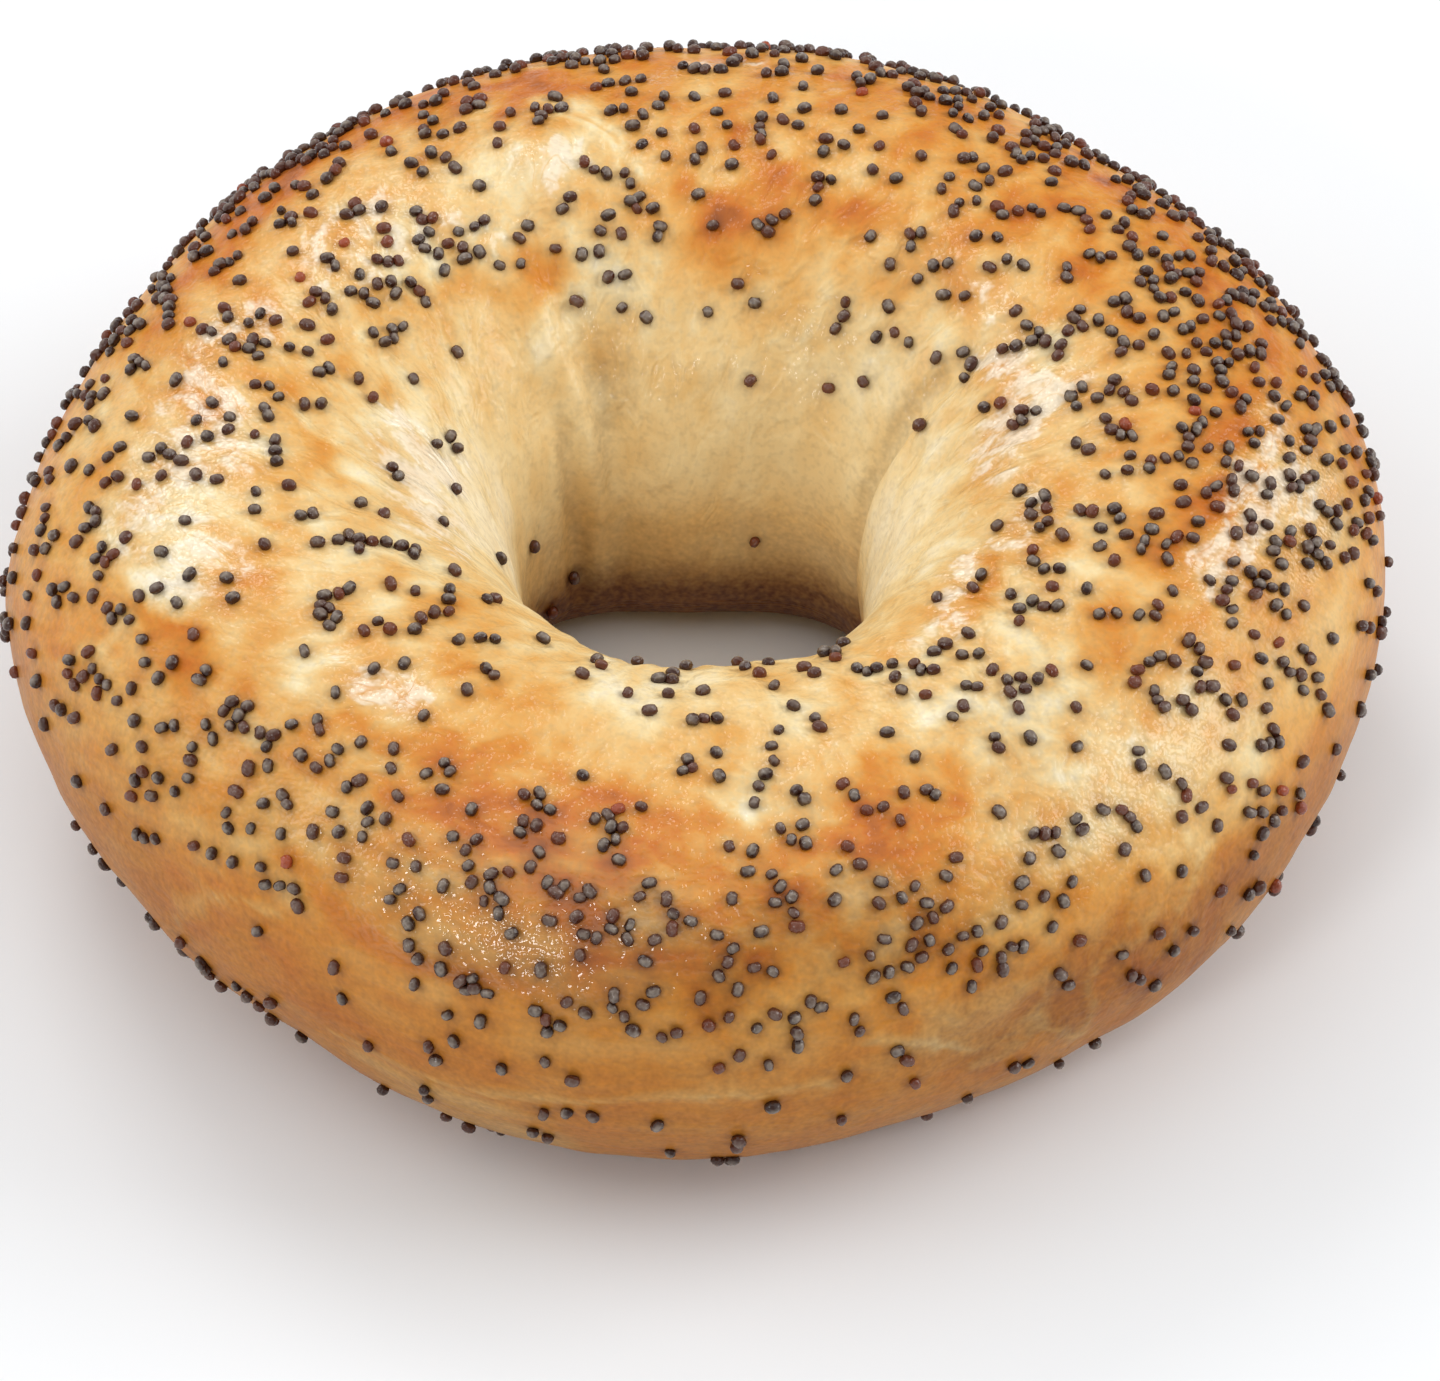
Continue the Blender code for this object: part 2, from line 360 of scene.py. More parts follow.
# Patches: name, degrees around the ring, degrees around the section, half length, half width
# in the same degrees, and how much browner or paler
BROWN_PATCHES = (
    ("right and back top", 42, 76, 52, 24, 0.14),
    ("back flank", 84, 55, 80, 9, 0.10),
    ("back inner edge", 50, 107, 30, 9, 0.12),
    ("back right flank", 26, 46, 26, 17, 0.10),
    ("back right top", 36, 82, 9, 9, 0.14),
    ("back right flank, pale spot", 72, 50, 9, 7, -0.14),
    ("back left flank", 136, 54, 26, 14, 0.26),
    ("left end of the back", 109, 68, 10, 9, 0.28),
    ("back top, middle", 97, 90, 6, 5, 0.14),
    ("behind the hole", 74, 113, 21, 11, 0.30),
    ("behind the hole, dark end", 86, 107, 7, 5, 0.12),
    ("beside the blister, right", 107, 110, 5, 6, 0.06),
    ("behind the hole, top", 84, 100, 9, 8, 0.36),
    ("above the far wall", 72, 128, 18, 8, 0.12),
    ("top of the far wall", 84, 141, 32, 9, 0.10),
    ("blister", 113, 93, 8, 10, -0.20),
    ("back left top", 139, 97, 13, 9, -0.22),
    ("gold spot behind the hole", 119, 118, 7, 5, 0.27),
    ("gold below the chain", 121, 110, 6, 5, 0.24),
    ("gold streak behind the left slope", 156, 100, 8, 5, 0.14),
    ("left slope, far end", 168, 120, 6, 7, 0.20),
    ("gold band inside the back left", 138, 122, 18, 6, 0.06),
    ("pale edge inside the back left", 143, 109, 13, 6, -0.10),
    ("left end of the back left", 172, 52, 13, 12, -0.22),
    ("left shoulder", 193, 69, 12, 17, -0.26),
    ("gold streak on the left slope", 180, 98, 13, 5, 0.10),
    ("left slope", 183, 116, 9, 9, -0.12),
    ("left shoulder, pale front end", 204, 70, 8, 8, -0.14),
    ("gold end of the left front slope", 241, 110, 6, 6, 0.06),
    ("left wall", 182, 148, 24, 24, -0.14),
    ("left front, pale", 214, 102, 7, 18, -0.16),
    ("left shoulder, brown front end", 206, 56, 8, 9, 0.25),
    ("left flank foot", 197, 30, 9, 8, 0.10),
    ("left front flank, pale", 228, 25, 8, 8, -0.10),
    ("left front slope", 229, 112, 12, 14, 0.08),
    ("left front top, pale", 226, 74, 8, 9, -0.24),
    ("left slope, front end", 206, 96, 9, 8, -0.08),
    ("front of the hole", 263, 113, 12, 13, -0.18),
    ("gold edge in front of the hole", 247, 92, 12, 9, 0.14),
    ("straw band in front of the hole", 281, 98, 19, 10, -0.13),
    ("front shoulder", 250, 68, 15, 14, 0.17),
    ("front shoulder, right half", 289, 66, 9, 13, 0.18),
    ("notch in the front shoulder", 276, 83, 4, 8, -0.24),
    ("small notch in the front shoulder", 257, 80, 3, 6, -0.14),
    ("front flank", 268, 50, 30, 24, 0.06),
    ("front shoulder, middle", 264, 74, 8, 8, 0.12),
    ("front shoulder, right end", 300, 86, 8, 6, -0.12),
    ("front flank, left", 259, 57, 11, 8, 0.18),
    ("shiny front flank", 248, 43, 7, 7, -0.08),
    ("front flank, right", 288, 46, 7, 10, 0.08),
    ("front flank, lower", 244, 28, 10, 7, 0.18),
    ("right flank, back end", 14, 33, 10, 9, 0.11),
    ("front right flank, upper", 300, 50, 6, 8, 0.14),
    ("right end of the front shoulder", 300, 76, 6, 10, -0.18),
    ("front right flank", 291, 30, 11, 12, 0.04),
    ("straw area at the front right", 313, 62, 12, 34, -0.24),
    ("straw area, right end", 326, 42, 9, 12, -0.14),
    ("straw area, low end", 323, 26, 9, 10, -0.24),
    ("gold spot at the right", 322, 77, 8, 6, 0.18),
    ("right inner edge", 334, 101, 12, 6, 0.07),
    ("right top", 354, 75, 12, 7, 0.18),
    ("gold at the right inner edge", 325, 100, 7, 6, 0.24),
    ("pale right flank", 354, 55, 13, 12, -0.18),
    ("low right flank", 345, 34, 14, 12, -0.14),
    ("right wall", 352, 148, 24, 22, -0.12),
    ("pale gap on the right top", 24, 74, 5, 12, -0.14),
    ("gold spot on the back left", 131, 117, 9, 4, 0.08),
    ("right flank foot", 6, 20, 15, 17, 0.03),
    ("low front right", 315, 2, 14, 14, 0.08),
    ("low front left", 232, 0, 12, 12, 0.08),
    ("floured foot", 250, -24, 8, 10, -0.20),
    ("floured dip", 293, 6, 7, 5, -0.12),
)

# Stretch marks are paler, and the crust is mottled in soft lumps, more in some places than others
MARK_PALENESS = 0.20
COARSE_MOTTLE_SIZE = 0.0060
COARSE_MOTTLE = 0.16
FINE_MOTTLE_SIZE = 0.0028
FINE_MOTTLE = 0.20
MOTTLING_BY_ANGLE = (
    (-90, 0.3), (-10, 0.35), (10, 0.45), (30, 0.65), (55, 0.85), (75, 1.0), (110, 1.0), (125, 0.75),
    (145, 0.4), (165, 0.25), (270, 0.25),
)
MOTTLING_PATCHES = (
    ("front shoulder and flank", 268, 58, 36, 30, 0.40),
    ("straw area in front of the hole", 276, 100, 22, 14, -0.35),
)


def spread(patches, azimuth, angle):
    """Adds up soft round patches, each with a name, two angles, two half sizes and an amount."""
    total = 0
    for name, around, across, length, width, amount in patches:
        turn = np.remainder(np.degrees(azimuth) - around + 180, 360) - 180
        tilt = np.remainder(np.degrees(angle) - across + 180, 360) - 180
        total = total + amount * np.exp(-np.hypot(turn / length, tilt / width) ** 4)
    return total


browning = by_angle(BROWN_BY_ANGLE, angle) + spread(BROWN_PATCHES, loose_azimuth, loose_angle)
mottling = by_angle(MOTTLING_BY_ANGLE, angle) + spread(MOTTLING_PATCHES, loose_azimuth, loose_angle)
browning = browning + mottling * COARSE_MOTTLE * cloud(points, COARSE_MOTTLE_SIZE, 2, 17.0)
browning = browning + mottling * FINE_MOTTLE * cloud(skin, FINE_MOTTLE_SIZE, 2, 19.0)
browning = browning - MARK_PALENESS * marks

# Glaze
# Starch that gelled in the boil dried to a thin glaze, cream white and shiny where it is thick
# and crackled into veins, or drawn into flecks, where the dough went on swelling under it. Its
# cream white is partly its own colour and partly painted highlight where the light falls.

# How much the crust shines around the section, then patches with more or less of the shiny glaze
# and its white, which is partly painted highlight, and patches that only shine more or less
GLAZE_BY_ANGLE = (
    (-90, 0.0), (0, 0.06), (20, 0.16), (40, 0.26), (100, 0.26), (125, 0.20), (150, 0.14), (180, 0.06),
    (270, 0.0),
)
GLAZE_AND_HIGHLIGHT_PATCHES = (
    ("left shoulder", 190, 73, 12, 15, 0.54),
    ("left shoulder, bare front end", 205, 56, 8, 8, -0.50),
    ("left shoulder, front end", 205, 75, 8, 8, 0.42),
    ("left shoulder, back end", 171, 78, 13, 9, 0.55),
    ("back left top", 141, 90, 15, 14, 0.42),
    ("blister", 113, 93, 6, 8, 0.65),
    ("beside the blister", 127, 102, 9, 7, 0.30),
    ("back", 86, 66, 12, 5, 0.40),
    ("back right inner slope", 32, 109, 16, 7, 0.35),
    ("right inner slope", 5, 110, 12, 11, 0.85),
    ("right inner slope, far end", 18, 117, 5, 8, 0.60),
    ("front right inner slope", 326, 112, 22, 9, 0.50),
    ("right flank", 351, 58, 14, 11, 0.85),
    ("left wall of the hole", 180, 126, 10, 16, 0.75),
    ("left inner slope", 197, 128, 16, 14, 0.50),
    ("front right flank", 318, 48, 13, 14, 0.30),
    ("edge of the front shoulder", 231, 80, 5, 8, 0.80),
    ("front top", 286, 88, 12, 5, 0.20),
)
GLOSS_PATCHES = (
    ("front left flank", 253, 41, 17, 17, 0.90),
    ("front shoulder", 266, 66, 24, 16, 0.30),
    ("dull back flank", 90, 38, 95, 22, -0.26),
)

# The thin glaze between the patches, and how white the glaze is, a white that is partly painted
# highlight on the top and inner slopes, how far it is crackled into veins, and how finely it is
# bubbled, around the section
THIN_GLAZE_AND_HIGHLIGHT = 0.06
WHITE_GLAZE_AND_HIGHLIGHT_BY_ANGLE = (
    (-90, 0.0), (0, 0.0), (30, 0.1), (46, 0.5), (58, 0.95), (130, 1.0), (155, 0.7), (185, 0.0),
    (270, 0.0),
)
VEINS_BY_ANGLE = (
    (-90, 0.0), (30, 0.0), (55, 0.4), (68, 0.8), (92, 0.7), (115, 0.3), (130, 0.0), (270, 0.0),
)
VEINS_IN_PATCHES = 1.5
BUBBLES_BY_ANGLE = (
    (-90, 0.2), (0, 0.3), (40, 0.4), (90, 0.35), (110, 0.25), (130, 0.10), (155, 0.0), (210, 0.0),
    (270, 0.2),
)
BUBBLE_PATCHES = (
    ("smooth front left flank", 253, 42, 18, 18, -0.22),
    ("right flank", 352, 58, 16, 18, 0.80),
    ("front shoulder", 266, 66, 24, 16, 0.30),
    ("left flank", 206, 42, 16, 16, 0.30),
    ("right inner slope", 5, 108, 12, 12, 0.50),
)

# How far the flecks and veins bend off the lines of the skin, and the size of a bend
SKIN_DRIFT = 0.0009
SKIN_DRIFT_SIZE = 0.0026

patched = spread(GLAZE_AND_HIGHLIGHT_PATCHES, loose_azimuth, loose_angle)
glaze = by_angle(GLAZE_BY_ANGLE, angle) + patched + spread(GLOSS_PATCHES, loose_azimuth, loose_angle)
glaze = np.clip(glaze, 0, 1)
# Whiteness of the glaze, partly painted highlight on the top and inner slopes
glaze_and_highlight_whiteness = np.clip(THIN_GLAZE_AND_HIGHLIGHT + patched, 0, 1) * by_angle(WHITE_GLAZE_AND_HIGHLIGHT_BY_ANGLE, angle)
veins = by_angle(VEINS_BY_ANGLE, angle) * np.clip(patched * VEINS_IN_PATCHES, 0, 1)
bubbles = by_angle(BUBBLES_BY_ANGLE, angle) + spread(BUBBLE_PATCHES, loose_azimuth, loose_angle)
bubbles = np.clip(bubbles, 0, 1)
drift = np.stack([cloud(skin, SKIN_DRIFT_SIZE, 2, shift) for shift in (23.0, 29.0, 31.0)], axis=-1)


def keep_on_mesh(mesh, name, values):
    """Stores one number, or one vector, for each vertex, for the material to read."""
    kind, field = ("FLOAT", "value") if values.ndim == 1 else ("FLOAT_VECTOR", "vector")
    attribute = mesh.attributes.new(name, kind, "POINT")
    attribute.data.foreach_set(field, values.astype(np.float32).ravel())


keep_on_mesh(crust_mesh, "browning", browning)
keep_on_mesh(crust_mesh, "mottling", mottling)
keep_on_mesh(crust_mesh, "glaze", glaze)
keep_on_mesh(crust_mesh, "glaze_and_highlight_whiteness", glaze_and_highlight_whiteness)
keep_on_mesh(crust_mesh, "veins", veins)
keep_on_mesh(crust_mesh, "folds", folds)
keep_on_mesh(crust_mesh, "bubbles", bubbles)
keep_on_mesh(crust_mesh, "skin", skin + SKIN_DRIFT * drift)

# Boiled and baked wheat crust
# Gives the eye cream to orange brown colour that shows through a thin, uneven, crackled glaze,
# whose white is partly painted highlight, with painted shade over both.
# Its patterns' sizes are metres on the crust, and its relief is in millimetres.

# The dough's colour as it browns, the white of the glaze and painted highlight over it, and the
# tint of the painted shade
BROWNING_STOPS = (
    (0.00, "#f8ebc8"),
    (0.12, "#f1daa6"),
    (0.24, "#eac584"),
    (0.42, "#e2aa5a"),
    (0.60, "#d88e32"),
    (0.80, "#ca7016"),
    (1.00, "#9a5018"),
)
GLAZE_AND_HIGHLIGHT_COLOUR = "#fbefdb"
GLAZE_AND_HIGHLIGHT_COVER = 0.60
SHADE_COLOUR = "#6b4a2c"

# Flecks are about 2 mm across and the grain 0.6 mm, and veins run about 1.5 mm apart
FLECK_SIZE = 0.0020
GRAIN_SIZE = 0.0006
VEIN_SPACING = 0.0015
VEIN_SHARPNESS = 0.06

# How much flecks, grain and veins change the browning, and grain and veins the glaze
FLECK_BROWNING = -0.42
GRAIN_BROWNING = 0.15
VEIN_BROWNING = 0.12
GRAIN_IN_GLAZE = 0.3
VEIN_IN_GLAZE = -0.85

# Flecks break up the white of glaze and painted highlight from the first whiteness to the second,
# and by how much. It starts to cover the crust at the first thickness and is whole at the second
FLECKED_WHITENESS = (0.05, 0.35)
FLECKS_IN_GLAZE = 2.4
GLAZE_THICKNESSES = (0.34, 0.88)

# The least shine of the crust, and the glaze at which it is as shiny as it gets
DRY_SHINE = 0.06
WET_GLAZE = 0.8

# The grain's light and dark, and the little shade that lies everywhere
GRAIN_SHADE = -0.54
EVEN_SHADE = 0.02

# Heights in millimetres: what folded skin adds to the flecks, and their own, the veins, and what
# bubbled glaze adds to the grain, and its own
FOLD_HEIGHT = 0.36
FLECK_HEIGHT = 0.16
VEIN_HEIGHT = -0.02
BUBBLE_HEIGHT = 0.34
GRAIN_HEIGHT = 0.10
MILLIMETRE = 0.001


def linear(hex_colour):
    """An sRGB hex colour as linear red, green, blue and alpha."""
    parts = [int(hex_colour[i:i + 2], 16) / 255 for i in (1, 3, 5)]
    return (*[c / 12.92 if c <= 0.04045 else ((c + 0.055) / 1.055) ** 2.4 for c in parts], 1.0)


def add_node(tree, kind, settings=None, inputs=None, stops=()):
    """Adds a node, sets its settings, and gives each input a value, a socket or a node's first output.
    A colour ramp starts with two stops and gets all of its own, each a place and a hex colour."""
    new = tree.nodes.new(kind)
    for name, value in (settings or {}).items():
        setattr(new, name, value)
    for name, value in (inputs or {}).items():
        if isinstance(value, bpy.types.Node):
            value = value.outputs[0]
        if isinstance(value, bpy.types.NodeSocket):
            tree.links.new(value, new.inputs[name])
        else:
            new.inputs[name].default_value = value
    for stop in stops[2:]:
        new.color_ramp.elements.new(0.5)
    for index, (place, colour) in enumerate(stops):
        new.color_ramp.elements[index].position = place
        new.color_ramp.elements[index].color = linear(colour)
    return new


crust_material = bpy.data.materials.new("boiled and baked crust")
crust_material.use_nodes = True
tree = crust_material.node_tree
tree.nodes.clear()
place = add_node(tree, "ShaderNodeTexCoord").outputs["Object"]
skin_place = add_node(tree, "ShaderNodeAttribute", {"attribute_name": "skin"}).outputs["Vector"]
browned = add_node(tree, "ShaderNodeAttribute", {"attribute_name": "browning"}).outputs["Fac"]
mottled = add_node(tree, "ShaderNodeAttribute", {"attribute_name": "mottling"}).outputs["Fac"]
glazed = add_node(tree, "ShaderNodeAttribute", {"attribute_name": "glaze"}).outputs["Fac"]
veined = add_node(tree, "ShaderNodeAttribute", {"attribute_name": "veins"}).outputs["Fac"]
folded = add_node(tree, "ShaderNodeAttribute", {"attribute_name": "folds"}).outputs["Fac"]
bubbled = add_node(tree, "ShaderNodeAttribute", {"attribute_name": "bubbles"}).outputs["Fac"]
shaded = add_node(tree, "ShaderNodeAttribute", {"attribute_name": "painted_shade"}).outputs["Fac"]
white = add_node(tree, "ShaderNodeAttribute", {"attribute_name": "glaze_and_highlight_whiteness"}).outputs["Fac"]

# Flecks drawn out with the skin, and a fine grain, both around 0
flecks = add_node(tree, "ShaderNodeTexNoise", {}, {
    "Vector": skin_place, "Scale": 1 / FLECK_SIZE, "Detail": 2.0, "Roughness": 0.6})
flecks = add_node(tree, "ShaderNodeMath", {"operation": "SUBTRACT"}, {0: flecks.outputs["Fac"], 1: 0.5})
grain = add_node(tree, "ShaderNodeTexNoise", {}, {
    "Vector": place, "Scale": 1 / GRAIN_SIZE, "Detail": 1.0, "Roughness": 0.7})
grain = add_node(tree, "ShaderNodeMath", {"operation": "SUBTRACT"}, {0: grain.outputs["Fac"], 1: 0.5})

# Veins: 1 on a vein, 0 beside it, where a slower noise crosses its middle value
crossing = add_node(tree, "ShaderNodeTexNoise", {}, {
    "Vector": skin_place, "Scale": 1 / VEIN_SPACING, "Detail": 0.0})
crossing = add_node(tree, "ShaderNodeMath", {"operation": "SUBTRACT"}, {
    0: crossing.outputs["Fac"], 1: 0.5})
crossing = add_node(tree, "ShaderNodeMath", {"operation": "ABSOLUTE"}, {0: crossing})
crossing = add_node(tree, "ShaderNodeMapRange", {"interpolation_type": "SMOOTHSTEP"}, {
    "Value": crossing, "From Min": 0.0, "From Max": VEIN_SHARPNESS, "To Min": 1.0, "To Max": 0.0})
vein = add_node(tree, "ShaderNodeMath", {"operation": "MULTIPLY"}, {0: crossing, 1: veined})

# Colour: browning with flecks, grain and veins
brown = add_node(tree, "ShaderNodeMath", {"operation": "MULTIPLY"}, {0: flecks, 1: FLECK_BROWNING})
brown = add_node(tree, "ShaderNodeMath", {"operation": "MULTIPLY_ADD"}, {
    0: grain, 1: GRAIN_BROWNING, 2: brown})
brown = add_node(tree, "ShaderNodeMath", {"operation": "MULTIPLY_ADD"}, {
    0: brown, 1: mottled, 2: browned})
brown = add_node(tree, "ShaderNodeMath", {"operation": "MULTIPLY_ADD"}, {
    0: vein, 1: VEIN_BROWNING, 2: brown})
colour = add_node(tree, "ShaderNodeValToRGB", {}, {"Fac": brown}, BROWNING_STOPS)

# The cream white of glaze and painted highlight over it, in flecks where it is thin, and broken by
# the veins
ragged = add_node(tree, "ShaderNodeMapRange", {}, {
    "Value": white, "From Min": FLECKED_WHITENESS[0], "From Max": FLECKED_WHITENESS[1],
    "To Min": 0.0, "To Max": FLECKS_IN_GLAZE})
thickness = add_node(tree, "ShaderNodeMath", {"operation": "MULTIPLY_ADD"}, {
    0: grain, 1: GRAIN_IN_GLAZE, 2: flecks})
thickness = add_node(tree, "ShaderNodeMath", {"operation": "MULTIPLY_ADD"}, {
    0: thickness, 1: ragged, 2: white})
glaze_and_highlight_film = add_node(tree, "ShaderNodeMapRange", {"interpolation_type": "SMOOTHSTEP"}, {
    "Value": thickness, "From Min": GLAZE_THICKNESSES[0], "From Max": GLAZE_THICKNESSES[1],
    "To Min": 0.0, "To Max": GLAZE_AND_HIGHLIGHT_COVER})
bare = add_node(tree, "ShaderNodeMath", {"operation": "MULTIPLY_ADD"}, {
    0: vein, 1: VEIN_IN_GLAZE, 2: 1.0})
glaze_and_highlight_film = add_node(tree, "ShaderNodeMath", {"operation": "MULTIPLY"}, {0: glaze_and_highlight_film, 1: bare})
colour = add_node(tree, "ShaderNodeMix", {"data_type": "RGBA"}, {
    "Factor": glaze_and_highlight_film, 6: colour, 7: linear(GLAZE_AND_HIGHLIGHT_COLOUR)}).outputs[2]

# Painted shade, with the grain's own light and dark
dim = add_node(tree, "ShaderNodeMath", {"operation": "MULTIPLY_ADD"}, {
    0: grain, 1: GRAIN_SHADE, 2: shaded})
dim = add_node(tree, "ShaderNodeMath", {"operation": "ADD", "use_clamp": True}, {0: dim, 1: EVEN_SHADE})
colour = add_node(tree, "ShaderNodeMix", {"data_type": "RGBA", "blend_type": "MULTIPLY"}, {
    "Factor": dim, 6: colour, 7: linear(SHADE_COLOUR)}).outputs[2]

# Relief: drawn out ridges and sunk veins in the crust, and a fine grit that shows in its gloss.
# The coat is the glaze, wet looking where it is thick
ridges = add_node(tree, "ShaderNodeMath", {"operation": "MULTIPLY_ADD"}, {
    0: folded, 1: FOLD_HEIGHT, 2: FLECK_HEIGHT})
relief = add_node(tree, "ShaderNodeMath", {"operation": "MULTIPLY"}, {0: flecks, 1: ridges})
relief = add_node(tree, "ShaderNodeMath", {"operation": "MULTIPLY_ADD"}, {
    0: vein, 1: VEIN_HEIGHT, 2: relief})
soft = add_node(tree, "ShaderNodeBump", {}, {"Height": relief, "Strength": 1.0, "Distance": MILLIMETRE})
grit = add_node(tree, "ShaderNodeMath", {"operation": "MULTIPLY_ADD"}, {
    0: bubbled, 1: BUBBLE_HEIGHT, 2: GRAIN_HEIGHT})
relief = add_node(tree, "ShaderNodeMath", {"operation": "MULTIPLY_ADD"}, {0: grain, 1: grit, 2: relief})
sharp = add_node(tree, "ShaderNodeBump", {}, {"Height": relief, "Strength": 1.0, "Distance": MILLIMETRE})
wet = add_node(tree, "ShaderNodeMapRange", {}, {
    "Value": glazed, "From Min": 0.0, "From Max": WET_GLAZE, "To Min": DRY_SHINE, "To Max": 1.0})
shader = add_node(tree, "ShaderNodeBsdfPrincipled", {}, {
    "Base Color": colour, "Roughness": 0.5, "IOR": 1.4, "Specular IOR Level": 0.3, "Normal": soft,
    "Coat Weight": wet, "Coat Roughness": 0.09, "Coat IOR": 1.55, "Coat Normal": sharp})
add_node(tree, "ShaderNodeOutputMaterial", {}, {"Surface": shader})
crust_mesh.materials.append(crust_material)

crust = bpy.data.objects.new("crust", crust_mesh)
bpy.context.scene.collection.objects.link(crust)
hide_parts("bagel")
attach(crust, "root")

# Poppy seeds
# Dry kidney-shaped seeds a little over 1 mm long, slate grey to dark brown, strewn over the wet
# dough before it was baked. Each is sunk about a quarter into the crust, singly or in clumps.
SEED_LENGTH = 0.00115
SEED_WIDTH = 0.00104
SEED_DEPTH = 0.00095

# The kidney shape, in shares of the seed: how far it curls, and its dent's depth and half width
SEED_CURL = 0.35
SEED_DENT = 0.40
DENT_HALF_WIDTH = 0.22

# Seeds differ by these least and most shares in size, length and width, lean at random by these
# radians, and sink to this share of their depth, more or less
SEED_SIZES = (0.88, 1.12)
SEED_LENGTHS = (0.92, 1.1)
SEED_WIDTHS = (0.92, 1.08)
SEED_LEAN = 0.3
SEED_TIP = 0.2
SEED_SUNK = 0.27
SEED_SUNK_SHARES = (0.6, 1.3)

# Least distance between middles of strewn seeds and of clumped ones, the chance that a seed has
# another stuck to it, and how far away that one is in seed widths. Near seeds are looked for in
# cubes of space, which are wider than either gap
SEED_GAP = 0.00090
CLUMP_GAP = 0.00075
CLUMP_CHANCE = 0.28
CLUMP_REACH = (1.0, 1.35)
CELL_SIDE = 0.0015

# Seeds for each square centimetre, by degrees around the section, and more or fewer in patches
SQUARE_CENTIMETRES_IN_SQUARE_METRE = 1e4
SEEDS_BY_ANGLE = (
    (-90, 0.0), (-62, 0.0), (-40, 3.0), (-15, 2.2), (0, 3.5), (12, 8.0), (25, 15.0), (40, 18.0),
    (60, 14.0), (80, 11.0), (92, 11.0), (104, 8.0), (116, 3.5), (130, 0.6), (150, 0.0), (270, 0.0),
)
SEED_PATCHES = (
    ("right and back right top", 20, 65, 38, 35, 12.0),
    ("right flank", 350, 62, 14, 16, 13.0),
    ("right end of the top", 9, 71, 14, 14, 13.0),
    ("right inner top", 4, 89, 7, 8, 8.0),
    ("back top", 84, 88, 9, 9, 12.0),
    ("low right flank", 345, 28, 14, 10, -6.0),
    ("sparse right inner edge", 18, 106, 14, 9, -5.0),
    ("back flank", 90, 36, 74, 20, 26.0),
    ("clump inside the right", 25, 126, 12, 6, 10.0),
    ("behind the hole", 78, 108, 14, 10, 7.0),
    ("beside the blister", 114, 113, 8, 7, 10.0),
    ("chain at the back left", 132, 104, 20, 6, 26.0),
    ("end of the chain", 158, 112, 8, 6, 16.0),
    ("below the chain", 166, 98, 7, 8, 6.0),
    ("sparse left slope", 187, 104, 9, 10, -9.0),
    ("left top", 184, 84, 10, 12, 8.0),
    ("left front slope", 218, 105, 10, 16, 11.0),
    ("left front slope, dense end", 233, 105, 5, 5, 10.0),
    ("front left flank", 240, 46, 12, 10, 8.0),
    ("front flank", 275, 55, 14, 22, 10.0),
    ("front flank, left part", 256, 38, 8, 9, 4.0),
    ("front right flank", 325, 40, 14, 12, 5.0),
    ("front right top", 308, 85, 8, 12, 18.0),
    ("right inner slope", 330, 92, 14, 8, 8.0),
    ("low front right", 288, 25, 14, 10, 5.0),
    ("front rim of the hole", 272, 120, 18, 10, 18.0),
    ("sparse front edge", 290, 88, 8, 8, -6.0),
    ("bare blister", 113, 92, 7, 8, -14.0),
    ("bare front shoulder", 250, 84, 12, 12, -11.0),
    ("bare front shoulder, lower", 245, 72, 10, 6, -6.0),
)

# Lone seeds on the wall of the hole and low on the front, by degrees around ring and section
LONE_SEEDS = (
    (49, 146), (51, 144), (72, 147), (16, 137), (40, 141), (53, 133), (19, 123), (28, 126),
    (36, 128), (43, 131), (87, 132), (75, 130), (80, 126), (103, 132), (109, 129), (118, 126),
    (110, 122), (105, 113), (148, 125), (154, 177), (65, 181), (137, 186), (145, 194), (200, 150),
    (185, 137), (174, 131), (200, 130), (190, 120), (258, -12), (260, -10), (262, -9), (258, -26),
    (276, -5), (267, -11), (282, 1), (255, 2), (268, -28),
)

bm = bmesh.new()
bmesh.ops.create_icosphere(bm, subdivisions=2, radius=0.5)
for vertex in bm.verts:
    x, y, z = vertex.co
    dent = SEED_DENT * math.exp(-((x / DENT_HALF_WIDTH) ** 2)) * max(y, 0)
    vertex.co = (x * SEED_LENGTH, (y - SEED_CURL * x * x - dent) * SEED_WIDTH, z * SEED_DEPTH)
bmesh.ops.recalc_face_normals(bm, faces=bm.faces[:])
seed_mesh = bpy.data.meshes.new("seed")
bm.to_mesh(seed_mesh)
bm.free()
seed_height = np.array([vertex.co.z / SEED_DEPTH + 0.5 for vertex in seed_mesh.vertices])

# The crust's faces in one fixed order, whatever order the sweep made them in: each starts at its
# lowest corner number, and the faces are sorted by their corners
corners = np.array([face.vertices for face in crust_mesh.polygons])
first = corners.argmin(axis=1)
corners = corners[np.arange(len(corners))[:, None], (first[:, None] + np.arange(4)) % 4]
corners = corners[np.lexsort(corners.T[::-1])]

random.seed(11)
crust_tree = BVHTree.FromPolygons(points.tolist(), corners.tolist())
face_places = points[corners].mean(axis=1)
diagonals = points[corners[:, 2:]] - points[corners[:, :2]]
face_areas = np.linalg.norm(np.cross(diagonals[:, 0], diagonals[:, 1]), axis=1) / 2
corner = corners[:, 0]
density = by_angle(SEEDS_BY_ANGLE, angle[corner]) + spread(SEED_PATCHES, azimuth[corner], angle[corner])
chance = np.cumsum(face_areas * np.maximum(density, 0) * SQUARE_CENTIMETRES_IN_SQUARE_METRE)
seed_count = round(chance[-1])
placed = []
cells = {}


